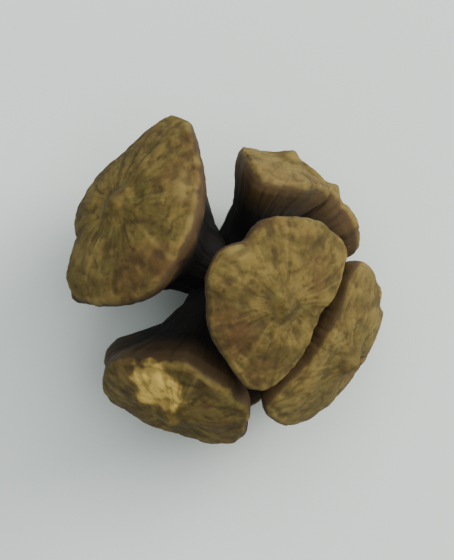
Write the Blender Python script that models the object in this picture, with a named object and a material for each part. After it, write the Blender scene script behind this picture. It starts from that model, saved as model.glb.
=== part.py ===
"""A dried cypress cone that has opened and shed its seeds, resting tip up with a slight lean.

Twelve woody scales grow in six crossed pairs on a short axis. Each scale is a many-sided plate on a
narrowing stem, like a broad nail, and the closed plates once tiled a ball. Dry plates have shrunk,
tipped and twisted, so that dark clefts run in to the axis. The cone grew as one piece, so it is one
solid, and it rests on small flats of its lowest plates, round the spot below its weight.

Frame: +Z up, origin on the surface that the cone rests on, below the middle of its outline.
"""

import math

import bmesh
import bpy
import numpy as np
from mathutils import Matrix, Vector

MM = 0.001

# The ball of plates, in mm and degrees
BALL_RADIUS = 12.8
PAIRS = 6
FIRST_AZIMUTH = 146.0
SHRINKAGE = 0.87
CORNER_POWER = 13.0
FLATNESS = 0.3
WIDEST_ARC = 0.80
NEIGHBOUR_ARC = 110.0
STALK_CLEARANCE = 9.0

# How far each pair has tipped from the tip towards the stalk, tip pair first
TIPPED = (2.0, 8.0, 2.0, 8.0, 7.0, 2.0)

# Unevenness of the closed ball, in degrees, drawn from this seed
SEED = 7
STRAY_ANGLE = 2.5

# How each scale opened, by its pair and its side: tip, turn, twist and nod in degrees, then shares of
# the usual width, height and distance of the plate from the cone's middle. A plate that nods has its
# stalk side sunk and its tip side lifted.
OPENED = {
    (0, 0): (5.2, 1.4, 3.0, -3.8, 1.23, 1.06, 1.07),
    (0, 1): (-3.4, 4.5, -1.5, 6.0, 0.91, 0.86, 1.04),
    (1, 0): (3.8, 3.9, 0.4, 8.6, 0.63, 0.91, 0.88),
    (1, 1): (0.7, 16.1, -2.5, -5.3, 0.81, 0.9, 1.03),
    (2, 0): (8.0, 10.0, 2.0, 0.0, 0.98, 0.78, 1.0),
    (2, 1): (-4.4, -0.3, 0.4, -3.3, 0.97, 0.96, 0.99),
    (3, 0): (0.0, -11.0, 3.0, 0.0, 0.8, 0.88, 0.9),
    (3, 1): (1.1, 3.0, -3.0, 0.0, 0.95, 0.9, 1.0),
    (4, 0): (-1.7, -3.5, -2.0, -7.8, 0.81, 0.83, 0.96),
    (4, 1): (4.5, 1.4, 2.0, -14.4, 0.97, 0.84, 1.06),
    (5, 0): (0.4, 7.7, 0.0, -10.9, 0.83, 0.78, 0.97),
    (5, 1): (7.4, 3.4, 0.0, 6.1, 0.72, 0.93, 1.03),
}

# Where a plate's edge has chipped or swelled: angle round it from the stalk side and spread in
# degrees, and share of the radius gained
CHIPS = {
    (0, 0): (
        (52.0, 24.0, -0.3),
        (159.0, 24.0, -0.04),
        (217.0, 26.0, -0.22),
        (252.0, 18.0, -0.08),
        (277.0, 20.0, 0.03),
        (339.0, 25.0, 0.05),
        (358.0, 24.0, 0.26),
    ),
    (0, 1): (
        (43.0, 16.0, 0.13),
        (101.0, 24.0, 0.1),
        (151.0, 14.0, -0.2),
        (176.0, 14.0, 0.06),
        (212.0, 14.0, -0.15),
        (286.0, 16.0, 0.05),
        (331.0, 18.0, 0.06),
    ),
    (1, 0): (
        (70.0, 24.0, -0.22),
        (113.0, 26.0, -0.09),
        (193.0, 24.0, 0.07),
        (232.0, 20.0, -0.1),
        (265.0, 26.0, -0.32),
        (320.0, 26.0, 0.03),
    ),
    (1, 1): (
        (77.0, 26.0, -0.17),
        (122.0, 26.0, 0.09),
        (179.0, 26.0, -0.09),
        (237.0, 26.0, 0.1),
        (303.0, 26.0, 0.14),
    ),
    (2, 0): ((82.0, 26.0, -0.13),),
    (2, 1): (
        (6.0, 30.0, 0.04),
        (73.0, 26.0, -0.32),
        (123.0, 26.0, 0.16),
        (184.0, 52.0, -0.12),
        (244.0, 26.0, 0.09),
        (293.0, 26.0, -0.09),
    ),
    (3, 0): ((90.0, 30.0, -0.2), (256.0, 32.0, -0.28)),
    (3, 1): ((75.0, 26.0, -0.09), (250.0, 28.0, -0.22)),
    (4, 0): ((285.0, 32.0, -0.2),),
    (4, 1): ((103.0, 32.0, -0.16),),
    (5, 0): ((90.0, 30.0, -0.2), (114.0, 24.0, -0.12)),
}

# One scale, in mm: its face
CROWN = 0.35
UMBO_HEIGHT = 0.4
UMBO_RADIUS = 0.9
MOAT_DEPTH = 0.2
MOAT_RADIUS = 2.1
MOAT_WIDTH = 1.0
RIDGE_HEIGHT = 0.2
RIDGE_WIDTH = 0.9

# Its stem, where it meets the axis
STEM_HALF_WIDTH = 2.4
STEM_HALF_HEIGHT = 1.3
STEM_ROOT_RADIUS = 0.5
ROOT_TOP = 3.6
ROOT_BOTTOM = -4.2

# Stations from the umbo over the face and rim to the root: share of the outline, depth in mm, and how
# far the section has gone over from the plate's outline to the stem's oval. Below the rim's depth the
# plate's edge draws in to the stem.
STATIONS = (
    (0.0, 0.0, 0.0),
    (0.09, 0.0, 0.0),
    (0.2, 0.0, 0.0),
    (0.42, 0.0, 0.0),
    (0.68, 0.0, 0.0),
    (0.9, 0.0, 0.0),
    (0.985, 0.15, 0.0),
    (1.0, 0.6, 0.0),
    (0.95, 1.5, 0.0),
    (0.75, 3.2, 0.0),
    (0.54, 5.2, 0.1),
    (0.41, 7.6, 0.6),
    (0.36, 10.2, 1.0),
    (0.0, 11.5, 1.0),
)
RIM_DEPTH = 1.0
SIDES = 32

# The axis that the scales grow on, and what is left of the stalk
AXIS_RADIUS = 2.3
AXIS_TOP = 5.0
AXIS_BOTTOM = -7.0
STALK_RADIUS = 1.35
STALK_END = -11.6

# How the cone stands: its lean, and its middle over the surface
LEAN = 12.0
LEAN_TOWARDS = 142.0
MIDDLE = (0.28, -0.03, 12.8)


def clear_scene():
    for obj in list(bpy.data.objects):
        bpy.data.objects.remove(obj, do_unlink=True)


def weathered_wood():
    """Grey-tan dry wood with a dull surface."""
    material = bpy.data.materials.new("weathered cone wood")
    material.use_nodes = True
    shader = material.node_tree.nodes["Principled BSDF"]
    shader.inputs["Base Color"].default_value = (0.155, 0.102, 0.040, 1.0)
    shader.inputs["Roughness"].default_value = 0.78
    shader.inputs["Metallic"].default_value = 0.0
    return material


def direction(polar, azimuth):
    """Unit vector at a polar angle from the tip and an azimuth round the axis, in degrees."""
    polar, azimuth = math.radians(polar), math.radians(azimuth)
    return np.array(
        (math.sin(polar) * math.cos(azimuth), math.sin(polar) * math.sin(azimuth), math.cos(polar))
    )


def local_axes(polar, azimuth, twist=0.0):
    """Rows: towards the stalk, round the axis, and outwards, turned by twist about the last."""
    polar, azimuth, twist = (math.radians(angle) for angle in (polar, azimuth, twist))
    down = np.array(
        (math.cos(polar) * math.cos(azimuth), math.cos(polar) * math.sin(azimuth), -math.sin(polar))
    )
    side = np.array((-math.sin(azimuth), math.cos(azimuth), 0.0))
    out = np.cross(down, side)
    return np.array(
        (
            math.cos(twist) * down + math.sin(twist) * side,
            math.cos(twist) * side - math.sin(twist) * down,
            out,
        )
    )


def scale_plan():
    """Where each scale sat in the closed ball, and how it has moved and shrunk since."""
    draws = np.random.default_rng(SEED).uniform(-STRAY_ANGLE, STRAY_ANGLE, (PAIRS, 2, 8))
    plan = []
    for pair in range(PAIRS):
        polar = math.degrees(math.acos(1.0 - (2 * pair + 1) / PAIRS))
        for side in range(2):
            azimuth = FIRST_AZIMUTH - 90.0 * (pair % 2) + 180.0 * side
            tip, turn, twist, nod, width, height, reach = OPENED[pair, side]
            stray_polar, stray_azimuth = draws[pair, side, :2]
            plan.append(
                {
                    "pair": pair,
                    "closed": (polar + stray_polar, azimuth + stray_azimuth),
                    "open": (polar + TIPPED[pair] + tip, azimuth + turn),
                    "twist": twist,
                    "nod": math.radians(nod),
                    "shares": (SHRINKAGE * height, SHRINKAGE * width),
                    "radius": BALL_RADIUS * reach,
                    "chips": CHIPS.get((pair, side), ()),
                }
            )
    return plan


def outline(index, plan, angles):
    """Radius of a plate's outline at each angle, in ball radii, seen flat from straight outside.

    A plate ended halfway to each neighbour, so it is a polygon with one side to a neighbour. Raising
    the sides' pulls to a power and summing them rounds the corners, and one more term bounds it.
    """
    down, side, out = local_axes(*plan[index]["closed"])
    pulls = np.full_like(angles, WIDEST_ARC**-CORNER_POWER)
    edges = []
    for other, neighbour in enumerate(plan):
        if other == index:
            continue
        centre = direction(*neighbour["closed"])
        between = math.acos(float(out @ centre))
        if between < math.radians(NEIGHBOUR_ARC):
            edges.append((centre, between / 2))
    if plan[index]["pair"] == PAIRS - 1:
        stalk = np.array((0.0, 0.0, -1.0))
        edges.append((stalk, math.acos(float(out @ stalk)) - math.radians(STALK_CLEARANCE)))
    for centre, reach in edges:
        towards = math.atan2(float(centre @ side), float(centre @ down))
        pulls += (np.maximum(np.cos(angles - towards), 0.0) / math.tan(reach)) ** CORNER_POWER
    radius = pulls ** (-1.0 / CORNER_POWER)
    for place, spread, gain in plan[index]["chips"]:
        away = np.angle(np.exp(1j * (angles - math.radians(place))))
        radius *= 1.0 + gain * np.exp(-((away / math.radians(spread)) ** 2))
    return radius


def face_relief(across, along, share):
    """Height of the face over the ball: a low crown, a boss in a shallow moat, and a ridge across it."""
    radius = np.hypot(across, along)
    crown = CROWN * (1.0 - share**2)
    boss = UMBO_HEIGHT * np.exp(-((radius / UMBO_RADIUS) ** 2))
    moat = MOAT_DEPTH * np.exp(-(((radius - MOAT_RADIUS) / MOAT_WIDTH) ** 2))
    ridge = RIDGE_HEIGHT * np.exp(-((along / RIDGE_WIDTH) ** 2)) * np.maximum(1.0 - share, 0.0)
    return crown + boss - moat + ridge


def scale_points(index, plan, angles, shares, depths, roundness):
    """Points of one scale, in mm in the cone's own frame, for arrays of outline angle and station."""
    scale = plan[index]
    down, side, out = local_axes(*scale["open"], scale["twist"])
    flat_radius = outline(index, plan, angles)
    flat = np.stack(
        (flat_radius * np.cos(angles) * scale["shares"][0], flat_radius * np.sin(angles) * scale["shares"][1])
    )

    def plate(share, height):
        ray = out + (share * flat[0])[:, None] * down + (share * flat[1])[:, None] * side
        lengths = np.linalg.norm(ray, axis=1)
        radius = scale["radius"] * (1.0 + FLATNESS * (lengths - 1.0)) + height
        return ray * (radius / lengths)[:, None]

    plate_middle = scale["radius"] * out
    root_height = ROOT_TOP + (ROOT_BOTTOM - ROOT_TOP) * scale["pair"] / (PAIRS - 1)
    root = np.array((out[0] * STEM_ROOT_RADIUS, out[1] * STEM_ROOT_RADIUS, root_height))
    inward = (root - plate_middle) / np.linalg.norm(root - plate_middle)
    sunk = depths / STATIONS[-1][1] * np.linalg.norm(root - plate_middle)
    relief = face_relief(
        shares * flat[1] * scale["radius"], shares * flat[0] * scale["radius"], np.minimum(shares, 1.0)
    )
    spine = plate_middle + sunk[:, None] * inward
    face = plate(shares, relief) + depths[:, None] * inward
    flank = spine + shares[:, None] * (plate(np.ones_like(shares), 0.0) - plate_middle)
    head = np.where((depths < RIM_DEPTH)[:, None], face, flank) - plate_middle
    rise, drop = head @ out, head @ down
    nodded = plate_middle + (
        (rise * math.cos(scale["nod"]) - drop * math.sin(scale["nod"]))[:, None] * out
        + (drop * math.cos(scale["nod"]) + rise * math.sin(scale["nod"]))[:, None] * down
        + (head @ side)[:, None] * side
    )
    stem = (
        spine
        + (STEM_HALF_HEIGHT * np.cos(angles) * shares / STATIONS[-2][0])[:, None] * down
        + (STEM_HALF_WIDTH * np.sin(angles) * shares / STATIONS[-2][0])[:, None] * side
    )
    return nodded + roundness[:, None] * (stem - nodded)


def add_scale(index, plan, collection):
    """One scale: a sphere whose rings are moved to the stations of its face, rim, flank and stem."""
    form = bmesh.new()
    bmesh.ops.create_uvsphere(form, u_segments=SIDES, v_segments=len(STATIONS) - 1, radius=1.0)
    ball = np.array([vertex.co[:] for vertex in form.verts])
    angles = np.arctan2(ball[:, 1], ball[:, 0])
    rings = np.rint(np.arccos(np.clip(ball[:, 2], -1.0, 1.0)) / math.pi * (len(STATIONS) - 1)).astype(int)
    shares, depths, roundness = np.array(STATIONS)[rings].T
    points = scale_points(index, plan, angles, shares, depths, roundness)
    for vertex, point in zip(form.verts, points * MM):
        vertex.co = point
    return add_mesh(f"scale_{index}", form, collection)


def add_axis(collection):
    """The short woody axis in the middle, a slim egg."""
    form = bmesh.new()
    bmesh.ops.create_uvsphere(form, u_segments=16, v_segments=10, radius=1.0)
    half = (AXIS_TOP - AXIS_BOTTOM) / 2
    for vertex in form.verts:
        vertex.co = Vector(
            (
                vertex.co.x * AXIS_RADIUS,
                vertex.co.y * AXIS_RADIUS,
                vertex.co.z * half + (AXIS_TOP + AXIS_BOTTOM) / 2,
            )
        ) * MM
    return add_mesh("axis", form, collection)


def add_stalk(collection):
    """The stub of the stalk, broken off between the lowest pair of plates."""
    form = bmesh.new()
    top = AXIS_BOTTOM / 2
    bmesh.ops.create_cone(
        form,
        cap_ends=True,
        segments=14,
        radius1=STALK_RADIUS * MM,
        radius2=STALK_RADIUS * MM,
        depth=(top - STALK_END) * MM,
        matrix=Matrix.Translation((0.0, 0.0, (top + STALK_END) / 2 * MM)),
    )
    return add_mesh("stalk", form, collection)


def add_surface_block(collection):
    """A block whose top is the surface that the cone rests on."""
    form = bmesh.new()
    size = 4 * BALL_RADIUS * MM
    bmesh.ops.create_cube(form, size=size, matrix=Matrix.Translation((0.0, 0.0, -size / 2)))
    block = add_mesh("surface_block", form, collection)
    block.hide_render = True
    block.display_type = "WIRE"
    return block


def add_mesh(name, form, collection):
    mesh = bpy.data.meshes.new(name)
    form.to_mesh(mesh)
    form.free()
    obj = bpy.data.objects.new(name, mesh)
    collection.objects.link(obj)
    return obj


def new_collection(name):
    collection = bpy.data.collections.new(name)
    bpy.context.scene.collection.children.link(collection)
    return collection


def stance():
    """The turn and the place that bring the cone from its own frame to how it stands."""
    towards = math.radians(LEAN_TOWARDS)
    hinge = Vector((-math.sin(towards), math.cos(towards), 0.0))
    return Matrix.Translation(Vector(MIDDLE) * MM) @ Matrix.Rotation(math.radians(LEAN), 4, hinge)


def apply_modifiers(obj):
    """Puts the modifiers' result in the place of the object's own mesh."""
    graph = bpy.context.evaluated_depsgraph_get()
    plain = obj.data
    obj.data = bpy.data.meshes.new_from_object(obj.evaluated_get(graph))
    obj.modifiers.clear()
    bpy.data.meshes.remove(plain)


def build_cone():
    parts = new_collection("cypress cone")
    growth = new_collection("growth")
    cutters = new_collection("cutters")

    plan = scale_plan()
    surface = add_surface_block(cutters)
    pieces = [add_scale(index, plan, growth) for index in range(len(plan))]
    pieces.append(add_stalk(growth))
    cone = add_axis(parts)
    cone.name = "cone"
    for piece in [*pieces, cone]:
        piece.matrix_world = stance()

    union = cone.modifiers.new("one growth", "BOOLEAN")
    union.operation = "UNION"
    union.operand_type = "COLLECTION"
    union.collection = growth
    union.solver = "EXACT"
    flats = cone.modifiers.new("rest flats", "BOOLEAN")
    flats.operation = "DIFFERENCE"
    flats.solver = "EXACT"
    flats.object = surface
    apply_modifiers(cone)
    for obj in [*pieces, surface]:
        bpy.data.objects.remove(obj, do_unlink=True)
    bpy.data.collections.remove(growth)
    bpy.data.collections.remove(cutters)

    cone.data.name = "cone"
    cone.data.materials.clear()
    cone.data.materials.append(weathered_wood())
    cone.data.shade_smooth()
    cone.data.set_sharp_from_angle(angle=math.radians(40.0))
    return cone


clear_scene()
build_cone()
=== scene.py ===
# %% [markdown]
# # A dried cypress cone
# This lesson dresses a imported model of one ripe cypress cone. The real thing is a ball of twelve woody
# scales, each a broad nail: a many-sided head with a small boss, the umbo, on a stem that narrows to the
# cone's short axis. Dry air has shrunk the heads, so dark clefts run in between them.
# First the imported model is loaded. It gives the place and the size that every new piece must keep.

# %% The frame
import itertools
import math

import bpy
import numpy as np
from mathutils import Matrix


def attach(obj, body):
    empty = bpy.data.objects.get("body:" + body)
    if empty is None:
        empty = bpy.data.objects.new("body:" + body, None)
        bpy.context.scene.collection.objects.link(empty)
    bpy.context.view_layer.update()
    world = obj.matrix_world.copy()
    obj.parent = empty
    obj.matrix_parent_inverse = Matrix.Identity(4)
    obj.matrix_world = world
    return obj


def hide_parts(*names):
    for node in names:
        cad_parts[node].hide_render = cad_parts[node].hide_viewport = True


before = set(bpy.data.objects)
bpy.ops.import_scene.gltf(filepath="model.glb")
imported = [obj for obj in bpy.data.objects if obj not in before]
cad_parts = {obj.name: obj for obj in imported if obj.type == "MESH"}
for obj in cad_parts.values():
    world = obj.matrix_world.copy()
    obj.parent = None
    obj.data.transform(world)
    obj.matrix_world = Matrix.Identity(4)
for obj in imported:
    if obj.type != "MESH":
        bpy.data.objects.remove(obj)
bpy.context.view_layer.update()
MM = 0.001
print("packed nodes:", sorted(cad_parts))

# %% [markdown]
# ## Where the scales sit
# Scales grow in crossed pairs, each pair a quarter turn from the last, and spaced so that their closed
# heads cover a ball evenly. The values below are those of the model: where each pair sat, and how each
# scale has tipped, turned, twisted, nodded, shrunk and moved since. Rows run from the tip pair to the
# stalk pair. Placing by rule and then disturbing each one is how the real cone gets its look too.

# %% Growth values
# The closed ball: its radius in mm, its pairs of scales, and where the first scale sits in degrees
BALL_RADIUS = 12.8
PAIRS = 6
FIRST_AZIMUTH = 146.0

# The heads: the share of their size that drying has left, how sharp their corners are, how flat they are
# (0 is the ball's own curve and 1 a plane), and the farthest that one can reach, in ball radii
SHRINKAGE = 0.87
CORNER_POWER = 13.0
FLATNESS = 0.3
WIDEST_ARC = 0.80

# In degrees: how far off a neighbour still counts, and how wide of the stalk the lowest heads stay
NEIGHBOUR_ARC = 110.0
STALK_CLEARANCE = 9.0

# In degrees: how far each pair has tipped towards the stalk, and how far a closed place strays from the
# rule. Eight strays are drawn for each scale, and the first two are used
TIPPED = (2.0, 8.0, 2.0, 8.0, 7.0, 2.0)
STRAY_ANGLE = 2.5
STRAYS_DRAWN = 8
SEED = 7

# For the two scales of each pair: tip, turn, twist and nod in degrees, then width, height and distance
# from the middle as shares. A head that nods has its stalk side sunk and its tip side lifted
OPENED = np.array(
    (
        ((5.2, 1.4, 3.0, -3.8, 1.23, 1.06, 1.07), (-3.4, 4.5, -1.5, 6.0, 0.91, 0.86, 1.04)),
        ((3.8, 3.9, 0.4, 8.6, 0.63, 0.91, 0.88), (0.7, 16.1, -2.5, -5.3, 0.81, 0.9, 1.03)),
        ((8.0, 10.0, 2.0, 0.0, 0.98, 0.78, 1.0), (-4.4, -0.3, 0.4, -3.3, 0.97, 0.96, 0.99)),
        ((0.0, -11.0, 3.0, 0.0, 0.8, 0.88, 0.9), (1.1, 3.0, -3.0, 0.0, 0.95, 0.9, 1.0)),
        ((-1.7, -3.5, -2.0, -7.8, 0.81, 0.83, 0.96), (4.5, 1.4, 2.0, -14.4, 0.97, 0.84, 1.06)),
        ((0.4, 7.7, 0.0, -10.9, 0.83, 0.78, 0.97), (7.4, 3.4, 0.0, 6.1, 0.72, 0.93, 1.03)),
    )
)
print("the closed ball:", 2 * BALL_RADIUS, "mm wide, with", 2 * PAIRS, "scales")

# %% [markdown]
# ## Edges that chipped or swelled
# No head of the real cone keeps an even outline. Corners have broken off, some stretches shrank more than
# others, and some stand out. A bell of gain or loss on the outline's radius draws one such stretch out or
# in and leaves the rest alone, so a few of them make each head its own.

# %% Edges that chipped or swelled
# Angle round the head from the stalk side and its spread in degrees, and share of the radius gained
CHIPS = {
    (0, 0): (
        (52.0, 24.0, -0.3),
        (159.0, 24.0, -0.04),
        (217.0, 26.0, -0.22),
        (252.0, 18.0, -0.08),
        (277.0, 20.0, 0.03),
        (339.0, 25.0, 0.05),
        (358.0, 24.0, 0.26),
    ),
    (0, 1): (
        (43.0, 16.0, 0.13),
        (101.0, 24.0, 0.1),
        (151.0, 14.0, -0.2),
        (176.0, 14.0, 0.06),
        (212.0, 14.0, -0.15),
        (286.0, 16.0, 0.05),
        (331.0, 18.0, 0.06),
    ),
    (1, 0): (
        (70.0, 24.0, -0.22),
        (113.0, 26.0, -0.09),
        (193.0, 24.0, 0.07),
        (232.0, 20.0, -0.1),
        (265.0, 26.0, -0.32),
        (320.0, 26.0, 0.03),
    ),
    (1, 1): (
        (77.0, 26.0, -0.17),
        (122.0, 26.0, 0.09),
        (179.0, 26.0, -0.09),
        (237.0, 26.0, 0.1),
        (303.0, 26.0, 0.14),
    ),
    (2, 0): ((82.0, 26.0, -0.13),),
    (2, 1): (
        (6.0, 30.0, 0.04),
        (73.0, 26.0, -0.32),
        (123.0, 26.0, 0.16),
        (184.0, 52.0, -0.12),
        (244.0, 26.0, 0.09),
        (293.0, 26.0, -0.09),
    ),
    (3, 0): ((90.0, 30.0, -0.2), (256.0, 32.0, -0.28)),
    (3, 1): ((75.0, 26.0, -0.09), (250.0, 28.0, -0.22)),
    (4, 0): ((285.0, 32.0, -0.2),),
    (4, 1): ((103.0, 32.0, -0.16),),
    (5, 0): ((90.0, 30.0, -0.2), (114.0, 24.0, -0.12)),
}
print("changed stretches of edge:", sum(len(stretches) for stretches in CHIPS.values()))

# %% [markdown]
# ## Placing the scales
# The pairs share the ball's surface out evenly, which gives each its angle from the tip. Three axes at
# each place point towards the stalk, round the cone and outwards. The shape of a scale is given along
# its own three axes, so that one formula serves all twelve.

# %% Placing the scales


def direction(polar, azimuth):
    """Unit vector: polar angle from the tip, azimuth round the axis, both in degrees."""
    polar, azimuth = math.radians(polar), math.radians(azimuth)
    across = math.sin(polar)
    return np.array((across * math.cos(azimuth), across * math.sin(azimuth), math.cos(polar)))


def local_axes(polar, azimuth, twist=0.0):
    """Three unit rows at that spot of the ball: towards the stalk, round the axis, and outwards.
    The first two are turned by the twist about the third."""
    out = direction(polar, azimuth)
    down = direction(polar + 90.0, azimuth)
    side = np.cross(out, down)
    turn = math.radians(twist)
    return np.array(
        (
            math.cos(turn) * down + math.sin(turn) * side,
            math.cos(turn) * side - math.sin(turn) * down,
            out,
        )
    )


# A salt is a number that picks a pattern of noise. Each scale has its own, and what is added to it
# further down keeps the patterns of one scale apart
SALT_STEP = 31

strays = np.random.default_rng(SEED).uniform(-STRAY_ANGLE, STRAY_ANGLE, (PAIRS, 2, STRAYS_DRAWN))
plan = []
for pair, member in itertools.product(range(PAIRS), range(2)):
    polar = math.degrees(math.acos(1.0 - (2 * pair + 1) / PAIRS))
    azimuth = FIRST_AZIMUTH - 90.0 * (pair % 2) + 180.0 * member
    tip, turn, twist, nod, width, height, reach = OPENED[pair, member]
    plan.append(
        {
            "name": f"scale_{pair + 1}{'ab'[member]}",
            "pair": pair,
            "closed": (polar + strays[pair, member, 0], azimuth + strays[pair, member, 1]),
            "axes": local_axes(polar + TIPPED[pair] + tip, azimuth + turn, twist),
            "nod": math.radians(nod),
            "shares": (SHRINKAGE * height, SHRINKAGE * width),
            "radius": BALL_RADIUS * reach,
            "chips": CHIPS.get((pair, member), ()),
            "salt": SALT_STEP * (len(plan) + 1),
        }
    )
print(len(plan), "scales:", ", ".join(scale["name"] for scale in plan))

# %% [markdown]
# ## Noise to weather the wood with
# Wrinkles, pits and worn edges need randomness that repeats on every run. Blender's own noise textures
# would only tint the surface, so the relief is worked out here and moves the vertices themselves.
# Gradient noise is smooth, has one typical size, and takes whole arrays of points at once.

# %% Noise
# The lattice repeats after WRAP + 1 cells, one step of salt moves the points by SALT_SHIFT cells, and
# the gain and the span bring the values to about -1 to 1
WRAP = 255
SALT_SHIFT = 17.3
NOISE_GAIN = 1.6
OCTAVES, OCTAVES_SPAN = 3, 1.5
LATTICE_SEED = 23

lattice = np.random.default_rng(LATTICE_SEED)
SHUFFLE = lattice.permutation(WRAP + 1)
SLOPES = lattice.normal(size=(WRAP + 1, 3))
SLOPES /= np.linalg.norm(SLOPES, axis=1)[:, None]


def noise(points, size=1.0, salt=0):
    """Gradient noise, about -1 to 1, whose lumps are about as wide as size.

    Each corner of a cubic lattice has a slope drawn at random. A point's value is the eight slopes
    round it, each as steep as the point is far from its corner, blended by the ease 6t^5-15t^4+10t^3.
    """
    place = points / size + SALT_SHIFT * salt
    cell = np.floor(place).astype(int)
    part = place - cell
    ease = part**3 * (part * (part * 6.0 - 15.0) + 10.0)
    total = 0.0
    for corner in itertools.product((0, 1), repeat=3):
        x, y, z = np.moveaxis((cell + corner) & WRAP, -1, 0)
        slope = SLOPES[SHUFFLE[(SHUFFLE[(SHUFFLE[x] + y) & WRAP] + z) & WRAP]]
        weight = np.prod(np.where(corner, ease, 1.0 - ease), axis=-1)
        total = total + weight * np.sum(slope * (part - corner), axis=-1)
    return NOISE_GAIN * total


def fractal(points, size, salt):
    """Octaves of noise, each half as wide and half as strong as the last."""
    return sum(noise(points, size / 2**k, salt + k) / 2**k for k in range(OCTAVES)) / OCTAVES_SPAN


def creases(points, size, salt, thin=3.0):
    """0 in most places, falling to -1 along lines: noise is 0 on lines, so 1 - thin |noise| peaks there."""
    return -np.clip(1.0 - thin * np.abs(noise(points, size, salt)), 0.0, 1.0) ** 2


def ramp(values, low, high):
    """0 below low, 1 above high, and an S-shaped rise between."""
    t = np.clip((values - low) / (high - low), 0.0, 1.0)
    return t * t * (3.0 - 2.0 * t)


def bell(values, width, middle=0.0):
    """1 at the middle, falling off to both sides as e to the power -((values - middle) / width)^2."""
    return np.exp(-(((values - middle) / width) ** 2))


trial = noise(np.random.default_rng(1).uniform(0, 50, (20000, 3)))
print("noise spans", trial.min().round(2), "to", trial.max().round(2), "spread", trial.std().round(2))

# %% [markdown]
# ## From rings of points to a mesh
# Every piece here is a skin over rings of points: the first and last rings shrink to one point each, a
# pole, so the skin is closed. Working on grids of points keeps each shape a plain formula of two
# parameters, and one helper turns a finished grid into faces that point outwards.
# Extra numbers, one for each point, travel along as attributes that the materials read.

# %% Skinning rings
# Least length that a normal is divided by
TINY = 1e-9

# How the cone stands: its lean and the direction of it in degrees, and the ball's middle in mm
LEAN = 12.0
LEAN_TOWARDS = 142.0
MIDDLE = (0.28, -0.03, 12.8)


def skin(name, points, values):
    """Mesh object from a (rings, sides, 3) grid in mm. A ring goes round anticlockwise seen from
    outside the first pole. values maps attribute names to (rings, sides) arrays."""
    rings, sides = points.shape[:2]
    inner = points[1:-1].reshape(-1, 3)
    vertices = np.vstack((points[:1, 0], inner, points[-1:, 0])) * MM
    here = 1 + np.arange((rings - 2) * sides).reshape(rings - 2, sides)
    on = np.roll(here, -1, axis=1)
    quads = np.stack((here[:-1], here[1:], on[1:], on[:-1]), axis=-1).reshape(-1)
    last = len(vertices) - 1
    first_fan = np.stack((np.zeros(sides, int), here[0], on[0]), axis=-1).reshape(-1)
    last_fan = np.stack((np.full(sides, last), on[-1], here[-1]), axis=-1).reshape(-1)
    corners = np.concatenate((quads, first_fan, last_fan))
    counts = np.concatenate((np.full(len(quads) // 4, 4), np.full(2 * sides, 3)))
    mesh = bpy.data.meshes.new(name)
    mesh.vertices.add(len(vertices))
    mesh.vertices.foreach_set("co", vertices.ravel())
    mesh.loops.add(len(corners))
    mesh.loops.foreach_set("vertex_index", corners)
    mesh.polygons.add(len(counts))
    mesh.polygons.foreach_set("loop_start", np.concatenate(((0,), np.cumsum(counts)[:-1])))
    mesh.update(calc_edges=True)
    mesh.shade_smooth()
    for key, grid in values.items():
        grid = np.broadcast_to(grid, (rings, sides))
        column = np.concatenate((grid[:1].mean(axis=1), grid[1:-1].ravel(), grid[-1:].mean(axis=1)))
        mesh.attributes.new(key, "FLOAT", "POINT").data.foreach_set("value", column.astype(np.float32))
    obj = bpy.data.objects.new(name, mesh)
    bpy.context.scene.collection.objects.link(obj)
    return obj


def push_out(points, heights):
    """Moves a grid along its own normals: the cross product of the steps between rings and round them."""
    along = np.gradient(points, axis=0)
    around = np.roll(points, -1, axis=1) - np.roll(points, 1, axis=1)
    normals = np.cross(along, around)
    normals[0] = normals[1].mean(axis=0)
    normals[-1] = normals[-2].mean(axis=0)
    length = np.linalg.norm(normals, axis=-1, keepdims=True)
    return points + heights[..., None] * normals / np.maximum(length, TINY)


def stand(points):
    """Leans the cone about a level hinge by Rodrigues' formula and lifts it onto the surface, where
    the lowest heads are worn flat."""
    towards, lean = math.radians(LEAN_TOWARDS), math.radians(LEAN)
    hinge = np.array((-math.sin(towards), math.cos(towards), 0.0))
    along = np.sum(points * hinge, axis=-1, keepdims=True) * hinge
    turned = (
        points * math.cos(lean) + np.cross(hinge, points) * math.sin(lean) + along * (1.0 - math.cos(lean))
    )
    placed = turned + MIDDLE
    placed[..., 2] = np.maximum(placed[..., 2], 0.0)
    return placed


print("helpers: skin, push_out, stand")

# %% [markdown]
# ## The outline of a head
# Closed heads met halfway between neighbours, so each is a polygon with a side to every neighbour. Its
# corners are a little round. A maximum over the sides gives sharp corners, and a sum of high powers
# gives round ones, which is the cheapest way to blend any number of straight sides.

# %% Outlines


def outline(scale, angles):
    """Radius of the head at each angle round it, in ball radii, seen from straight outside.

    The side to a neighbour at the angle a and half an arc h away has the radius tan(h) / cos(angle - a).
    Its inverse is raised to CORNER_POWER, summed over the sides, and the root is taken back.
    """
    down, side, out = local_axes(*scale["closed"])
    pulls = np.full_like(angles, WIDEST_ARC**-CORNER_POWER)
    sides = []
    for other in plan:
        centre = direction(*other["closed"])
        between = math.acos(min(float(out @ centre), 1.0))
        if other is not scale and between < math.radians(NEIGHBOUR_ARC):
            sides.append((centre, between / 2))
    if scale["pair"] == PAIRS - 1:
        stalk = np.array((0.0, 0.0, -1.0))
        sides.append((stalk, math.acos(float(out @ stalk)) - math.radians(STALK_CLEARANCE)))
    for centre, half_arc in sides:
        towards = math.atan2(float(centre @ side), float(centre @ down))
        pulls += (np.maximum(np.cos(angles - towards), 0.0) / math.tan(half_arc)) ** CORNER_POWER
    radius = pulls ** (-1.0 / CORNER_POWER)
    for place, spread, gain in scale["chips"]:
        away = np.angle(np.exp(1j * (angles - math.radians(place))))
        radius *= 1.0 + gain * bell(away, math.radians(spread))
    return radius


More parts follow.
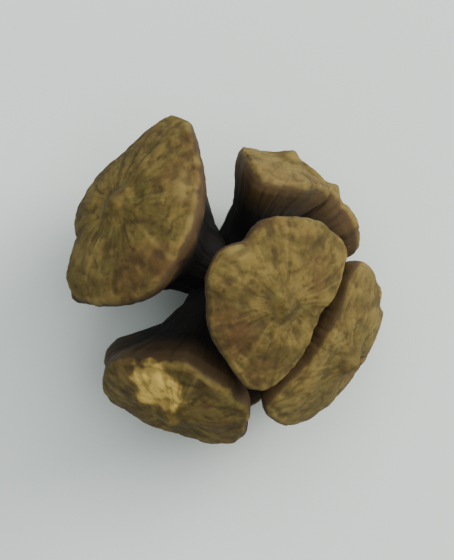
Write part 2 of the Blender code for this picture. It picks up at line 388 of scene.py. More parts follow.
# Points round each ring
SIDES = 256
angles = np.arange(SIDES) * 2.0 * math.pi / SIDES
for scale in plan:
    scale["outline"] = outline(scale, angles)
print("head radii in mm:", [round(float(s["outline"].mean() * s["radius"] * SHRINKAGE), 1) for s in plan])

# %% [markdown]
# ## The profile of a scale
# Cut from the umbo over the face, round the rim and down the flank to the root, every scale has the
# same profile. It is given as a few stations: the share of the outline, the depth below the face in mm,
# and how far the section has gone over to the stem's oval. Rings are set close on the face and the rim,
# where the relief is fine, and wide on the stem that hardly shows.

# %% Profile
STATIONS = np.array(
    (
        (0.0, 0.0, 0.0),
        (0.9, 0.0, 0.0),
        (0.975, 0.06, 0.0),
        (0.995, 0.25, 0.0),
        (1.0, 0.6, 0.0),
        (0.95, 1.5, 0.0),
        (0.75, 3.2, 0.0),
        (0.54, 5.2, 0.1),
        (0.41, 7.6, 0.6),
        (0.36, 10.2, 1.0),
        (0.0, 11.5, 1.0),
    )
)
STEM_DEPTH = STATIONS[-1, 1]

# In mm: a usual head's radius, which turns shares to lengths, and the length that rounds each corner.
# The rounding is done in this many even steps
HEAD_RADIUS = 6.0
EASE = 0.35
EASE_STEPS = 2000

# Numbers of some rings, and their places along the profile, of which the last is its whole length
RINGS = (0, 70, 90, 108, 122)
RING_PLACES = (0.0, 5.5, 7.0, 11.5, 18.5)


def eased_profile():
    """Stations read at many even steps of the length along them, averaged over EASE mm to round their
    corners, and read again at the rings' places."""
    steps = np.hypot(np.diff(STATIONS[:, 0]) * HEAD_RADIUS, np.diff(STATIONS[:, 1]))
    length = np.concatenate(((0.0,), np.cumsum(steps)))
    even = np.linspace(0.0, length[-1], EASE_STEPS)
    window = int(EASE / (even[1] - even[0])) | 1
    middle = slice(window // 2, -(window // 2))
    columns = []
    for values in STATIONS.T:
        fine = np.interp(even, length, values)
        fine[middle] = np.convolve(fine, np.ones(window) / window, "valid")
        columns.append(fine)
    places = np.interp(np.arange(RINGS[-1] + 1), RINGS, RING_PLACES) * length[-1] / RING_PLACES[-1]
    profile = [np.interp(places, even, fine) for fine in columns]
    profile[0][0] = profile[0][-1] = 0.0
    return profile


share, depth, roundness = (column[:, None] for column in eased_profile())
print(len(share), "rings of", SIDES, "points on each scale")

# %% [markdown]
# ## The plain form of a scale
# The face is a patch of the ball, a little flatter than the ball, with a low crown, the umbo in its
# moat, and a faint ridge across. The flank runs straight from the rim towards the root, and the stem
# is an oval. All of it is one formula of the ring and the angle.

# %% Plain form
# Heights, radii and widths of the face's forms in mm
CROWN = 0.35
UMBO_HEIGHT = 0.4
UMBO_RADIUS = 0.9
MOAT_DEPTH = 0.2
MOAT_RADIUS = 2.1
MOAT_WIDTH = 1.0
RIDGE_HEIGHT = 0.2
RIDGE_WIDTH = 0.9

# The stem's oval, and where the roots stand: their distance from the axis, and the heights of the
# first and the last pair's
STEM_HALF_WIDTH = 2.4
STEM_HALF_HEIGHT = 1.3
STEM_ROOT_RADIUS = 0.5
ROOT_TOP = 3.6
ROOT_BOTTOM = -4.2

# The depths between which the face goes over to the flank
RIM_BLEND = (0.4, 1.4)


def plain_scale(scale, ragged):
    """Grid of points in mm, and the distances across and along the face from its middle.

    Face: the ray out + share * outline, as long as the ball's radius with FLATNESS of the ray's own
    growth, plus the relief, then sunk by the depth. Flank: the way from the spine to the rim, times
    the share. The two are blended over the rim, the whole head is nodded about its side axis, and it
    goes over to the stem's oval by the roundness.
    """
    down, side, out = scale["axes"]
    radius = scale["radius"]
    reach = scale["outline"] * (1.0 + ragged)
    flat_down = reach * np.cos(angles) * scale["shares"][0]
    flat_side = reach * np.sin(angles) * scale["shares"][1]

    def plate(part, height):
        ray = out + (part * flat_down)[..., None] * down + (part * flat_side)[..., None] * side
        length = np.linalg.norm(ray, axis=-1)
        return ray * ((radius * (1.0 + FLATNESS * (length - 1.0)) + height) / length)[..., None]

    across, along = share * flat_side * radius, share * flat_down * radius
    from_umbo = np.hypot(across, along)
    relief = (
        CROWN * (1.0 - np.minimum(share, 1.0) ** 2)
        + UMBO_HEIGHT * bell(from_umbo, UMBO_RADIUS)
        - MOAT_DEPTH * bell(from_umbo, MOAT_WIDTH, MOAT_RADIUS)
        + RIDGE_HEIGHT * bell(along, RIDGE_WIDTH) * np.maximum(1.0 - share, 0.0)
    )
    middle = radius * out
    root_height = ROOT_TOP + (ROOT_BOTTOM - ROOT_TOP) * scale["pair"] / (PAIRS - 1)
    root = np.array((out[0] * STEM_ROOT_RADIUS, out[1] * STEM_ROOT_RADIUS, root_height))
    spine_length = np.linalg.norm(root - middle)
    inward = (root - middle) / spine_length
    sunk = (depth / STEM_DEPTH * spine_length)[..., None] * inward
    face = plate(share, relief) + depth[..., None] * inward
    flank = middle + sunk + share[..., None] * (plate(np.ones_like(share), 0.0) - middle)
    head = face + ramp(depth, *RIM_BLEND)[..., None] * (flank - face) - middle

    rise, drop, sideways = head @ out, head @ down, head @ side
    sine, cosine = math.sin(scale["nod"]), math.cos(scale["nod"])
    nodded = (
        middle
        + (rise * cosine - drop * sine)[..., None] * out
        + (drop * cosine + rise * sine)[..., None] * down
        + sideways[..., None] * side
    )
    oval = share / STATIONS[-2][0]
    stem = (
        middle
        + sunk
        + (STEM_HALF_HEIGHT * np.cos(angles) * oval)[..., None] * down
        + (STEM_HALF_WIDTH * np.sin(angles) * oval)[..., None] * side
    )
    return nodded + roundness[..., None] * (stem - nodded), across, along


plain, *_ = plain_scale(plan[1], 0.0)
print("the plain form of", plan[1]["name"], "spans", np.ptp(plain, axis=(0, 1)).round(1), "mm")

# %% [markdown]
# ## Streaks that run outwards
# The fibres of the face, and many of its wrinkles, run from the umbo to the rim. Noise has no direction
# of its own, so it is read on a drum instead of on the face. The way round the drum is the angle round
# the umbo, and its height is the log of the distance. That draws lumps out into streaks, and bending the
# drum's points by another noise keeps the streaks from looking ruled.

# %% Streaks that run outwards
# Fibres: height in mm, then the lines and the strength of a wide and a narrow kind. A drum's lines are
# its radius in cells of noise, and each of them gives about six streaks
FIBRE = 0.03
FIBRE_KINDS = ((8.0, 0.7), (18.0, 0.6))

# How fast the drum rises with the log of the distance from the umbo in mm, and what is added to that
# distance to keep the log small near the umbo
FIBRE_RISE = 0.9
LOG_START = 0.8

# How far the bending noise moves the drum's points, the size of that noise in mm, and the distances
# from the umbo between which fibres set in
FIBRE_BEND, FIBRE_BEND_SIZE = 0.4, 1.6
FIBRE_START = (0.7, 2.4)


def on_circle(lines, height):
    """Points of a drum as wide round as its lines say: lines times the cosine and the sine of the angle,
    and the height."""
    ring = np.broadcast_to(angles, np.broadcast_shapes(angles.shape, np.shape(height)))
    height = np.broadcast_to(height, ring.shape)
    return np.stack((lines * np.cos(ring), lines * np.sin(ring), height), axis=-1)


def outward_drum(lines, rise, from_umbo, salt):
    """Points of a drum whose height is rise times the log of the distance from the umbo. Noise on them
    makes streaks that run outwards and grow longer with the distance."""
    return on_circle(lines, salt + rise * np.log(from_umbo + LOG_START))


def wobble(points, size, salt):
    """Three noises side by side. Added to points, they bend whatever noise is then read there."""
    return np.stack([noise(points, size, salt + k) for k in range(3)], axis=-1)


def outward_fibres(points, from_umbo, salt):
    """-1 to 1: the sum of both kinds' noise, each times its strength, on drums that a wobble bends."""
    bend = FIBRE_BEND * wobble(points, FIBRE_BEND_SIZE, salt + 31)
    streaks = sum(
        strength * noise(outward_drum(lines, FIBRE_RISE, from_umbo, salt) + bend)
        for lines, strength in FIBRE_KINDS
    )
    return np.clip(streaks, -1.0, 1.0) * ramp(from_umbo, *FIBRE_START)


print("fibres stand up to", FIBRE, "mm high")

# %% [markdown]
# ## Weathering a face
# A year of sun and rain has roughened the face. It is pebbled and a little pitted, low wrinkles wander
# from the umbo towards the rim and fade out in places, and a shallow groove sets off a thin lip. The
# depths are tenths of a millimetre, enough for real shadows in the mesh and not only in a bump map.

# %% Relief of a face
# Heights or depths, and sizes of the lumps, in mm. A pit opens as its noise rises through PIT_RANGE
UNDULATION, UNDULATION_SIZE = 0.17, 3.4
PEBBLE, PEBBLE_SIZE = 0.11, 1.1
PIT, PIT_SIZE, PIT_RANGE = 0.06, 0.6, (0.35, 0.75)

# Wrinkles: depth in mm, the drum's lines and rise for those that run outwards, and the size in mm of
# those that wander. How thin they are, and how far in mm and by what size of wobble they are bent, is
# the same for both kinds
WRINKLE, WRINKLE_LINES, WRINKLE_RISE, WRINKLE_SIZE = 0.08, 3.6, 1.1, 1.8
WRINKLE_THIN = 2.2
WRINKLE_BEND, WRINKLE_BEND_SIZE = 0.5, 2.3

# Wrinkles run outwards where a noise of KIND_SIZE has risen through KIND_RANGE, and wander elsewhere.
# Both kinds set in between these distances from the umbo
KIND_SIZE, KIND_RANGE = 3.0, (-0.3, 0.4)
WRINKLE_START = (0.6, 2.4)

# Lip and groove: height or depth in mm, share of the outline, and width as such a share. A noise makes
# both uneven: their usual strength, how much the noise changes it, and its drum's lines
LIP, LIP_SHARE, LIP_WIDTH = 0.05, 0.965, 0.025
GROOVE, GROOVE_SHARE, GROOVE_WIDTH = 0.05, 0.885, 0.05
RIM_USUAL, RIM_CHANGE, RIM_LINES = 0.6, 0.8, 3.0

# The umbo's beak: height, radius and how far it stands to the tip's side, in mm
BEAK, BEAK_RADIUS, BEAK_SHIFT = 0.25, 0.4, 0.25


def face_relief(points, across, along, salt):
    """Heights in mm over the plain face: pebbles, less wrinkles and pits, with the rim's lip, the groove
    inside it, and the umbo's beak. Wrinkles are creases of noise on the outward drum where another noise
    is high, and of plain noise where it is low."""
    from_umbo = np.hypot(across, along)
    bend = WRINKLE_BEND * wobble(points, WRINKLE_BEND_SIZE, salt + 11)
    drum = outward_drum(WRINKLE_LINES, WRINKLE_RISE, from_umbo, salt) + bend
    outward = creases(drum, 1.0, salt, WRINKLE_THIN)
    wandering = creases(points + bend, WRINKLE_SIZE, salt + 15, WRINKLE_THIN)
    kind = ramp(noise(points, KIND_SIZE, salt + 14), *KIND_RANGE)
    wrinkles = outward * kind + wandering * (1.0 - kind)
    pebbles = fractal(points, PEBBLE_SIZE, salt)
    pits = ramp(noise(points, PIT_SIZE, salt + 16), *PIT_RANGE)
    uneven = RIM_USUAL + RIM_CHANGE * noise(on_circle(RIM_LINES, salt + 3.5))
    lip = LIP * bell(share, LIP_WIDTH, LIP_SHARE) * uneven
    groove = GROOVE * bell(share, GROOVE_WIDTH, GROOVE_SHARE) * uneven
    beak = BEAK * bell(np.hypot(across, along + BEAK_SHIFT), BEAK_RADIUS)
    away = ramp(from_umbo, *WRINKLE_START)
    return PEBBLE * pebbles + (WRINKLE * wrinkles - PIT * pits) * away + lip - groove + beak


print("deepest wrinkle and pit:", WRINKLE, "and", PIT, "mm")

# %% [markdown]
# ## Rim and flank
# The flank was never out in the weather. It shows the lines along which the wood grew, from the rim in
# to the stem, and they are streaks on a drum again. Face and flank meet at a rim that is nibbled all
# round, so the outline itself is moved by noise before the form is worked out.

# %% Rim and flank
# The rim's waves and nicks: shares of the radius, and their drums' lines. A nick opens as its noise rises
# through NICK_RANGE
WAVES = ((0.014, 2.6), (0.012, 8.0))
NICK, NICK_LINES, NICK_RANGE = 0.04, 4.0, (0.35, 0.8)

# The flank's grain: height in mm, the drum's lines and its rise for each mm of depth, the depths between
# which it sets in, and the strength that its noise and its creases both have
GRAIN, GRAIN_LINES, GRAIN_RISE, GRAIN_START = 0.07, 13.0, 0.12, (0.6, 1.6)
GRAIN_STRENGTH = 0.6

# The flank's pebbles as a share of the face's
FLANK_PEBBLES = 0.3


def ragged_rim(salt):
    """Shares of the radius by which the rim stands out or in: two waves of noise, less the nicks."""
    waves = sum(height * noise(on_circle(lines, salt + 0.5)) for height, lines in WAVES)
    return waves - NICK * ramp(noise(on_circle(NICK_LINES, salt + 7.5)), *NICK_RANGE)


def flank_relief(points, salt):
    """Heights in mm over the plain flank: the grain, which is noise and creases on a drum that rises
    slowly with the depth, and pebbles lower than those of the face."""
    drum = on_circle(GRAIN_LINES, salt + GRAIN_RISE * depth)
    grain = GRAIN_STRENGTH * noise(drum, 1.0, 5) + GRAIN_STRENGTH * creases(drum * (0.5, 0.5, 1.0), 1.0, 8)
    pebbles = FLANK_PEBBLES * PEBBLE * fractal(points, PEBBLE_SIZE, salt)
    return GRAIN * grain * ramp(depth, *GRAIN_START) + pebbles


print("the rim waves by up to", sum(height for height, _ in WAVES), "of the radius")

# %% [markdown]
# ## Weathering a whole scale
# Both reliefs are worked out on the whole grid, and one fades into the other over the rim, so there is no
# seam to hide. A slow undulation under them bends the whole scale a little, as wood warps in drying.

# %% Relief of a scale
# The depths between which the face's relief gives way to the flank's, and the share of the undulation
# that the stem goes without
FACE_END = (0.15, 0.7)
STEM_CALM = 0.6


def weathered_scale(scale):
    """The plain form, pushed out along its normals by the relief and a slow undulation. Gives the grid,
    the fine relief, the fibres, and the distances across and along the face."""
    salt = scale["salt"]
    points, across, along = plain_scale(scale, ragged_rim(salt))
    streaks = outward_fibres(points, np.hypot(across, along), salt)
    face = face_relief(points, across, along, salt) + FIBRE * streaks
    on_face = 1.0 - ramp(depth, *FACE_END)
    fine = on_face * face + (1.0 - on_face) * flank_relief(points, salt)
    slow = UNDULATION * noise(points, UNDULATION_SIZE, salt) * (1.0 - STEM_CALM * roundness)
    ends = np.ones_like(share)
    ends[-1] = 0.0
    return push_out(points, (fine + slow) * ends), fine, streaks, across, along


fine = weathered_scale(plan[1])[1]
print("fine relief of one scale:", fine.min().round(2), "to", fine.max().round(2), "mm")

# %% [markdown]
# ## Where the wood has changed colour
# No two heads are as light as each other, and single ones carry patches of their own, such as the large
# worn ochre one. A patch is a soft round spot on the face, given by its place and its radius in mm,
# because that can be read off the real thing with a ruler.

# %% Tones and patches
# How light each head is, -1 to 1, drawn from this seed. The heads seen from above are then set one by one
TONE_SEED, TONE_SPAN = 5, 0.6
TONES = np.random.default_rng(TONE_SEED).uniform(-TONE_SPAN, TONE_SPAN, len(plan))
TONES[:7] = (-0.05, -0.1, 0.6, -0.2, -0.3, 0.4, 0.6)

# Patches on single heads: mask, place across and along the face from the umbo and radius in mm, how soft
# the edge is as a share of the radius, and strength
PATCHES = {
    "scale_1a": (
        ("rust", -8.5, -1.6, 1.8, 1.0, 0.9),
        ("rust", -7.0, 4.2, 2.4, 1.0, 0.9),
        ("rust", 0.0, 7.2, 1.8, 1.0, 0.8),
        ("rust", 2.4, -7.0, 3.0, 1.0, 0.8),
        ("pale", -4.4, -5.2, 2.8, 1.0, 1.0),
        ("pale", 4.8, 0.2, 5.0, 1.0, 0.6),
    ),
    "scale_1b": (
        ("rust", -4.4, -2.2, 3.2, 1.0, 0.75),
        ("rust", -0.7, -0.6, 1.2, 0.9, 0.4),
        ("pale", 1.9, -5.8, 1.6, 0.9, 1.0),
    ),
    "scale_2a": (("rust", -2.6, -0.5, 2.2, 1.0, 0.8), ("worn", 3.3, -0.6, 1.8, 1.0, 0.4)),
    "scale_2b": (
        ("worn", -1.9, -3.1, 3.1, 0.5, 1.0),
        ("rust", 2.8, -3.1, 1.0, 0.9, 1.0),
        ("rust", 4.5, -0.4, 2.8, 1.0, 0.9),
    ),
    "scale_3b": (("pale", 8.4, -4.0, 2.8, 1.0, 1.0), ("rust", -6.2, -0.4, 2.2, 1.0, 0.7)),
}
print("patches on", ", ".join(PATCHES))

# %% [markdown]
# ## Masks for the finish
# Sun, rain and rubbing colour the wood by place. The lip is rubbed pale here and there, and fresher, redder
# wood shows at broken spots of the rim. The dips are painted darker as painted shade, and the rises lighter
# as rubbed wear and painted highlight. Each of these is a mask, worked out from the same grids as the
# relief, so that colour and relief fit, and it travels as an attribute.

# %% Masks for the finish
# The skin ends at this depth, which two noises change, one along the rim and one all over, and it fades
# out over EDGE_SOFT. All are in mm but the first noise's lines
EDGE, EDGE_WAVE, EDGE_GRAIN = 0.25, 0.2, 0.1
EDGE_LINES, EDGE_GRAIN_SIZE, EDGE_SOFT = 7.0, 0.7, 0.3

# The rim's band: strength, share of the outline, width, and the depths in mm between which it ends. It
# is pale where one noise rises through PALE_RANGE, and rusty where the blots rise through RUST_RANGE
BAND, BAND_SHARE, BAND_WIDTH, BAND_END = 0.8, 0.975, 0.035, (0.3, 1.0)
PALE_LINES, PALE_RANGE = 3.0, (-0.1, 0.5)
RUST_RANGE = (0.1, 0.5)
BLOT_SIZE = 1.7

# The height in mm that counts as a full dip or rise, and the distances from the umbo between which dips
# set in. A patchy ring of painted shade lies in the umbo's moat, where the blots rise through the last
# range
FULL_HEIGHT = 0.12
DIP_START = (0.3, 1.5)
MOAT_SHADE, MOAT_SHADE_RADIUS, MOAT_SHADE_WIDTH, MOAT_SHADE_RANGE = 0.8, 1.1, 0.45, (-0.5, 0.2)

# How far the blots and the fibres bend a patch's edge, as shares of its radius
PATCH_BLOT, PATCH_STREAK = 0.4, 0.12


def masks(scale, tone, points, fine, streaks, across, along):
    """skin: 1 on the face, 0 on the flank. dip: fine relief, -1 to 1, less a patchy ring of painted shade
    in the umbo's moat. fibre: streaks, -1 to 1. depth: 0 to 1 down to the root, which the flank's painted
    shade
    follows. tone: the same all over. pale, rust and worn: the rim's band times noise, and the patches."""
    salt = scale["salt"]
    edge = EDGE + EDGE_WAVE * noise(on_circle(EDGE_LINES, salt + 2.5))
    edge = edge + EDGE_GRAIN * noise(points, EDGE_GRAIN_SIZE, salt + 20)
    band = BAND * bell(share, BAND_WIDTH, BAND_SHARE) * (1.0 - ramp(depth, *BAND_END))
    blots = fractal(points, BLOT_SIZE, salt + 21)
    from_umbo = np.hypot(across, along)
    dip_darkening = MOAT_SHADE * bell(from_umbo, MOAT_SHADE_WIDTH, MOAT_SHADE_RADIUS) * ramp(blots, *MOAT_SHADE_RANGE)
    found = {
        "skin": 1.0 - ramp(depth, edge, edge + EDGE_SOFT),
        "dip": np.clip(fine / FULL_HEIGHT, -1.0, 1.0) * ramp(from_umbo, *DIP_START) - dip_darkening,
        "fibre": streaks,
        "depth": depth / STEM_DEPTH,
        "tone": tone,
        "pale": band * ramp(noise(on_circle(PALE_LINES, salt + 4.5)), *PALE_RANGE),
        "rust": band * ramp(blots, *RUST_RANGE),
        "worn": np.zeros_like(band),
    }
    for mask, right, down, radius, soft, strength in PATCHES.get(scale["name"], ()):
        away = np.hypot(across - right, along - down) / radius + PATCH_BLOT * blots + PATCH_STREAK * streaks
        patch = strength * found["skin"] * (1.0 - ramp(away, 1.0 - soft, 1.0))
        found[mask] = np.maximum(found[mask], patch)
    return found


scales = []
for scale, tone in zip(plan, TONES):
    points, *reliefs = weathered_scale(scale)
    scales.append(skin(scale["name"], stand(points), masks(scale, tone, points, *reliefs)))
print("triangles a scale:", sum(len(p.vertices) - 2 for p in scales[0].data.polygons))

# %% [markdown]
# ## The axis
# Deep between the stems stands the axis, a slim woody egg with fibres along it. It is made of rings of
# points too, whose radius follows the half circle from end to end.

# %% Axis
AXIS_RADIUS = 2.3
AXIS_TOP = 5.0
AXIS_BOTTOM = -7.0
AXIS_RINGS = 60

# Fibres: height in mm, the drum's lines and its rise for each mm of height, and the lumps' size in mm.
# AXIS_DIP is how strongly their creases are drawn darker
AXIS_FIBRE, AXIS_LINES, AXIS_RISE, AXIS_LUMPS = 0.12, 4.0, 0.3, 1.1
AXIS_DIP = 0.6


def ring_points(radius, height):
    """Rings round the upright axis: radius and height are (rings, 1) or (rings, sides) arrays."""
    height = np.broadcast_to(height, np.broadcast_shapes(np.shape(height), angles.shape))
    return np.stack((radius * np.cos(angles), radius * np.sin(angles), height), axis=-1)


turns = np.linspace(0.0, math.pi, AXIS_RINGS)[:, None]
half = (AXIS_TOP - AXIS_BOTTOM) / 2
egg = ring_points(AXIS_RADIUS * np.sin(turns), half * np.cos(turns) + AXIS_TOP - half)
fibres = creases(on_circle(AXIS_LINES, AXIS_RISE * egg[..., 2]), 1.0, 40) + fractal(egg, AXIS_LUMPS, 41)
egg = push_out(egg, AXIS_FIBRE * fibres * np.sin(turns))
# A depth of 1 gives the whole axis the flank's near-black painted shade
axis = skin("axis", stand(egg), {"dip": AXIS_DIP * fibres, "depth": 1.0})
print("axis:", len(axis.data.vertices), "vertices")

# %% [markdown]
# ## The stub of the stalk
# Below, the stalk has broken off across its fibres, so its end is rough and paler than its bark. The
# stub is a rod: rings down its side, then rings that close its end, which a noise pushes about.

# %% Stalk
STALK_RADIUS = 1.35
STALK_END = -11.6
SIDE_RINGS, END_RINGS = 45, 16

# The end's first ring as a share of the radius, how far over the end the side stops, and the height
# over which bark turns to broken wood, in mm
END_SHARE = 0.96
END_STEP = 0.1
BREAK_STEP = 0.05

# The break in mm: its usual height, and its noise's strength and size. The bark: height in mm, the drum's
# lines and its rise for each mm of height, and the strength and the size in mm of its lumps
BREAK_HEIGHT, BREAK_ROUGH, BREAK_SIZE = 0.25, 0.35, 0.45
STALK_BARK, BARK_LINES, BARK_RISE = 0.09, 3.0, 0.5
BARK_LUMPS, BARK_LUMP_SIZE = 0.6, 0.8

rod_share = np.ones((SIDE_RINGS + END_RINGS, 1))
rod_share[0] = 0.0
rod_share[SIDE_RINGS:, 0] = np.linspace(END_SHARE, 0.0, END_RINGS)
rod_height = np.full((SIDE_RINGS + END_RINGS, 1), STALK_END)
rod_height[:SIDE_RINGS, 0] = np.linspace(AXIS_BOTTOM / 2, STALK_END + END_STEP, SIDE_RINGS)
rod = ring_points(STALK_RADIUS * rod_share, rod_height)
broken = ramp(-rod[..., 2], -STALK_END - BREAK_STEP, -STALK_END)
lumps = BARK_LUMPS * fractal(rod, BARK_LUMP_SIZE, 51)
bark = creases(on_circle(BARK_LINES, BARK_RISE * rod[..., 2]), 1.0, 50) + lumps

# The break's noise is read on a level, so that it changes only across the stub
level = rod * (1.0, 1.0, 0.0)
rod[..., 2] += broken * (BREAK_HEIGHT + BREAK_ROUGH * noise(level, BREAK_SIZE, 52)) * (rod_share > 0.0)
rod = push_out(rod, STALK_BARK * bark * (1.0 - broken) * (rod_share > 0.0))
stalk = skin("stalk", stand(rod), {"dip": bark, "broken": broken})
print("stalk:", len(stalk.data.vertices), "vertices")

# %% [markdown]
# ## Colours and nodes
# Colours are picked as sRGB hex, as a painter would sample them, and one function turns them to the
# linear numbers that a shader wants. Another adds any node with its settings and links.

# %% Colour and node helpers


def linear(code):
    """sRGB hex to linear RGBA: below 0.04045 divide by 12.92, above it ((v + 0.055) / 1.055) ^ 2.4."""
    parts = [int(code[i : i + 2], 16) / 255 for i in (1, 3, 5)]
    return (*[v / 12.92 if v < 0.04045 else ((v + 0.055) / 1.055) ** 2.4 for v in parts], 1.0)


def add(tree, kind, inputs=None, **settings):
    """Adds a node. settings are its properties. inputs maps its sockets, by name or number, to values,
    or to another node or one of its outputs, which is then linked."""
    node = tree.nodes.new(kind)
    for key, value in settings.items():
        setattr(node, key, value)
    for key, value in (inputs or {}).items():
        if isinstance(value, bpy.types.Node):
            value = value.outputs[0]
        if isinstance(value, bpy.types.NodeSocket):
            tree.links.new(value, node.inputs[key])
        else:
            node.inputs[key].default_value = value
    return node


def new_material(name, roughness):
    """A material, its tree and its Principled shader, ready for a pattern."""
    material = bpy.data.materials.new(name)
    material.use_nodes = True
    shader = material.node_tree.nodes["Principled BSDF"]
    shader.inputs["Roughness"].default_value = roughness
    shader.inputs["Metallic"].default_value = 0.0
    return material, material.node_tree, shader


print("olive brown in linear light:", np.round(linear("#4a3f1a")[:3], 3).tolist())

# %% [markdown]
# ## Weathered cypress wood
# The skin of the heads grew green and waxy, then dried and bleached to a dull olive brown. Its dips are
# painted darker as painted shade, and its rises lighter as rubbed wear and painted highlight. Rubbed spots
# are lighter, broken rims show redder wood, and algae have left a breath of green in spots. The flanks kept
# a darker brown, darkest on the darker heads, and are painted nearly black towards the axis as painted
# shade.
# Wood has an IOR near 1.5, and this skin is so rough that it hardly shines. The finish is painted in
# layers:
# each follows one mask or one noise, comes in between two of its values, and lays one colour over those
# below.

# %% What the layers follow
wood, tree, shader = new_material("weathered cypress wood", 0.8)
place = add(tree, "ShaderNodeTexCoord").outputs["Object"]
follows = {}
# Sizes in mm: clouds and mottles as on the real skin, and grit drawn coarser than life so that it shows
for name, size in (("clouds", 5.5), ("mottle", 2.4), ("spots", 1.5), ("flecks", 0.8), ("grit", 0.24)):
    follows[name] = add(
        tree,
        "ShaderNodeTexNoise",
        {"Vector": place, "Scale": 1.0 / (size * MM), "Detail": 5.0, "Roughness": 0.62, "Distortion": 0.3},
    )
for name in ("skin", "dip", "fibre", "depth", "tone", "pale", "rust", "worn"):
    follows[name] = add(tree, "ShaderNodeAttribute", attribute_name=name).outputs["Fac"]
print("the layers can follow", len(follows), "things")

# %% [markdown]
# ## The layers of paint
# Listed from the bottom up. Small spots are drawn stronger than the eye would guess, because the light
# of the whole sky washes them out.

# %% Material: weathered cypress wood
OLIVE, TAN, WARM, UMBER = "#4a3f1a", "#68582a", "#523b20", "#2c220f"
BLEACHED, RUST, OCHRE, LICHEN = "#7f6f3f", "#442c16", "#d0b058", "#5c5a2a"
FLANK, FLANK_LINE, PAINTED_DEEP_SHADE = "#46361d", "#24190d", "#050302"

# Follows, from, to, most, colour
FACE_LAYERS = (
    ("mottle", 0.40, 0.60, 0.9, TAN),
    ("clouds", 0.48, 0.62, 0.5, WARM),
    ("spots", 0.56, 0.68, 0.45, RUST),
    ("spots", 0.44, 0.34, 0.45, LICHEN),
    ("flecks", 0.52, 0.68, 0.5, UMBER),
    ("tone", 0.0, 1.0, 0.4, BLEACHED),
    ("tone", 0.0, -1.0, 0.4, UMBER),
    ("pale", 0.0, 1.0, 0.5, BLEACHED),
    ("rust", 0.0, 1.0, 0.6, RUST),
    ("worn", 0.0, 1.0, 0.9, OCHRE),
    ("fibre", 0.0, -0.8, 0.3, UMBER),
    ("fibre", 0.1, 0.8, 0.22, BLEACHED),
    # Painted shade in the dips of the relief, and the rises painted lighter as rubbed wear and painted
    # highlight
    ("dip", -0.1, -0.9, 0.5, UMBER),
    ("dip", 0.2, 0.9, 0.3, BLEACHED),
)
FLANK_LAYERS = (
    ("dip", 0.1, -0.7, 1.0, FLANK_LINE),
    ("mottle", 0.5, 0.65, 0.3, RUST),
    ("tone", 0.2, -0.4, 0.6, FLANK_LINE),
    # Painted shade: the flank darkens to near black towards the axis, deep in the clefts
    ("depth", 0.08, 0.42, 1.0, PAINTED_DEEP_SHADE),
)
painted = []
for ground, layers in ((OLIVE, FACE_LAYERS), (FLANK, FLANK_LAYERS)):
    colour = linear(ground)
    for name, low, high, most, code in layers:
        much = add(
            tree,
            "ShaderNodeMapRange",
            {"Value": follows[name], "From Min": low, "From Max": high, "To Max": most},
            interpolation_type="SMOOTHSTEP",
        )
        mix = add(tree, "ShaderNodeMix", {0: much, 6: colour, 7: linear(code)}, data_type="RGBA")
        colour = mix.outputs[2]
    painted.append(colour)
face_colour, flank_colour = painted
both = add(tree, "ShaderNodeMix", {0: follows["skin"], 6: flank_colour, 7: face_colour}, data_type="RGBA")
rough = add(tree, "ShaderNodeMapRange", {"Value": follows["skin"], "To Min": 0.74, "To Max": 0.86})
bump = add(tree, "ShaderNodeBump", {"Height": follows["grit"], "Strength": 0.5, "Distance": 0.07 * MM})
tree.links.new(both.outputs[2], shader.inputs["Base Color"])
tree.links.new(rough.outputs[0], shader.inputs["Roughness"])
# Open pores take in much of the light that a closed surface would mirror at a slant
shader.inputs["Specular IOR Level"].default_value = 0.25
tree.links.new(bump.outputs[0], shader.inputs["Normal"])
print(wood.name, "has", len(tree.nodes), "nodes")

# %% [markdown]
# ## Stalk: bark and a broken end
# The stub is grey-brown bark over straw-coloured wood. The broken end shows fibre ends as fine pale
# spots, so the mask of the break swaps one colour for the other.

# %% Material: stalk
BARK, BARK_CREASE, STRAW, STRAW_DARK = "#57482f", "#281e12", "#a08750", "#65512c"

# Real fibre ends are several times finer, and are drawn this coarse so that they show
FIBRE_SIZE = 0.2 * MM

stalk_wood, tree, shader = new_material("grey stalk bark over pale wood", 0.85)
place = add(tree, "ShaderNodeTexCoord").outputs["Object"]
fibre_ends = add(tree, "ShaderNodeTexNoise", {"Vector": place, "Scale": 1.0 / FIBRE_SIZE, "Detail": 4.0})
# The bark is drawn darker where its relief dips, in the creases between its fibres
dip_darkening = add(tree, "ShaderNodeAttribute", attribute_name="dip").outputs["Fac"]
dip_darkening = add(tree, "ShaderNodeMapRange", {"Value": dip_darkening, "From Min": 0.2, "From Max": -0.8})
broken_end = add(tree, "ShaderNodeAttribute", attribute_name="broken").outputs["Fac"]
bark_mix = add(tree, "ShaderNodeMix", {0: dip_darkening, 6: linear(BARK), 7: linear(BARK_CREASE)}, data_type="RGBA")
end_mix = add(
    tree, "ShaderNodeMix", {0: fibre_ends, 6: linear(STRAW_DARK), 7: linear(STRAW)}, data_type="RGBA"
)
both = add(
    tree,
    "ShaderNodeMix",
    {0: broken_end, 6: bark_mix.outputs[2], 7: end_mix.outputs[2]},
    data_type="RGBA",
)
bump = add(tree, "ShaderNodeBump", {"Height": fibre_ends, "Strength": 0.5, "Distance": 0.05 * MM})
tree.links.new(both.outputs[2], shader.inputs["Base Color"])
tree.links.new(bump.outputs[0], shader.inputs["Normal"])
print(stalk_wood.name, "has", len(tree.nodes), "nodes")

# %% [markdown]
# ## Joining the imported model
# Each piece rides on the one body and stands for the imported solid, which is then hidden in pictures
# but still does the touching in a simulation.

# %% Rides
pieces = (*scales, axis, stalk)
for piece in pieces:
    piece.data.materials.append(stalk_wood if piece is stalk else wood)
    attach(piece, "root")
    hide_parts("cone")
print("pieces riding:", len(pieces))

# %% [markdown]
# ## Floor
# A wide sheet of pale matte card, so that the outline reads well and the light bounces back up into
# the clefts. It lies a hair below the surface that the cone rests on, so that the two never flicker.

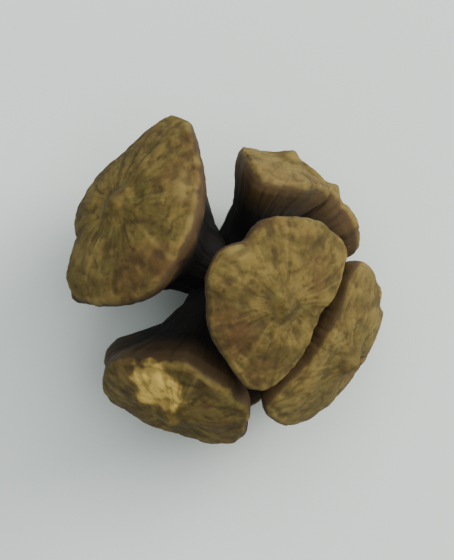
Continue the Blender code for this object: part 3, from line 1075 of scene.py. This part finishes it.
# %% Floor
FLOOR_HALF = 1.5
FLOOR_GAP = 0.02 * MM
floor_mesh = bpy.data.meshes.new("floor")
floor_corners = np.array(((-1, -1, 0), (1, -1, 0), (1, 1, 0), (-1, 1, 0))) * FLOOR_HALF
floor_mesh.from_pydata(floor_corners - (0.0, 0.0, FLOOR_GAP), [], [(0, 1, 2, 3)])
floor = bpy.data.objects.new("floor", floor_mesh)
bpy.context.scene.collection.objects.link(floor)
paper, tree, shader = new_material("pale matte card", 0.9)
shader.inputs["Base Color"].default_value = linear("#c9d3cf")
floor_mesh.materials.append(paper)
print("floor", 2 * FLOOR_HALF, "m wide")

# %% [markdown]
# ## Light
# Wide soft lights, as on an overcast day, show the relief without hard shadows. The stronger one stands
# to the upper right and brightens the heads on that side, as in daylight from a window.

# %% Lights
# The height in metres of the spot that the lights face, near the cone's middle
AIM_HEIGHT = 0.012


def soft_light(name, place, size, power, tint="#ffffff"):
    """A square area light at a place in metres, turned to the cone: its slant is the angle between the
    way there and straight down, and its bearing is that way's direction on the floor."""
    lamp = bpy.data.lights.new(name, "AREA")
    lamp.size, lamp.energy, lamp.color = size, power, linear(tint)[:3]
    obj = bpy.data.objects.new(name, lamp)
    obj.location = place
    aim = np.array((0.0, 0.0, AIM_HEIGHT)) - place
    slant, bearing = math.acos(-aim[2] / np.linalg.norm(aim)), math.atan2(aim[1], aim[0])
    obj.rotation_euler = (slant, 0.0, bearing - math.pi / 2)
    bpy.context.scene.collection.objects.link(obj)


soft_light("overhead", (0.08, 0.14, 0.60), 0.5, 4.5)
soft_light("window", (0.50, 0.28, 0.34), 0.4, 5.5, "#fff8ee")
sky = bpy.data.worlds.new("overcast")
sky.use_nodes = True
sky.node_tree.nodes["Background"].inputs["Color"].default_value = linear("#ecefef")
sky.node_tree.nodes["Background"].inputs["Strength"].default_value = 0.5
bpy.context.scene.world = sky
print("two area lights and an even sky")

# %% [markdown]
# ## Camera
# It looks straight down from far off with a long lens, so that perspective hardly bends the ball. Its
# height follows from the width that it is to show.

# %% Camera
FRAME_WIDTH, FRAME_HEIGHT = 454, 560
SHOWN_WIDTH = 38.0 * MM
LENS, SENSOR = 200.0, 36.0
shown_height = SHOWN_WIDTH * FRAME_HEIGHT / FRAME_WIDTH
lens = bpy.data.cameras.new("camera")
lens.lens, lens.sensor_width = LENS, SENSOR
camera = bpy.data.objects.new("camera", lens)
camera.location = (0.0, 0.0, MIDDLE[2] * MM + shown_height * LENS / SENSOR)
lens.clip_start, lens.clip_end = 0.01, 10.0
bpy.context.scene.collection.objects.link(camera)
bpy.context.scene.camera = camera
print("camera", round(camera.location.z, 3), "m up")
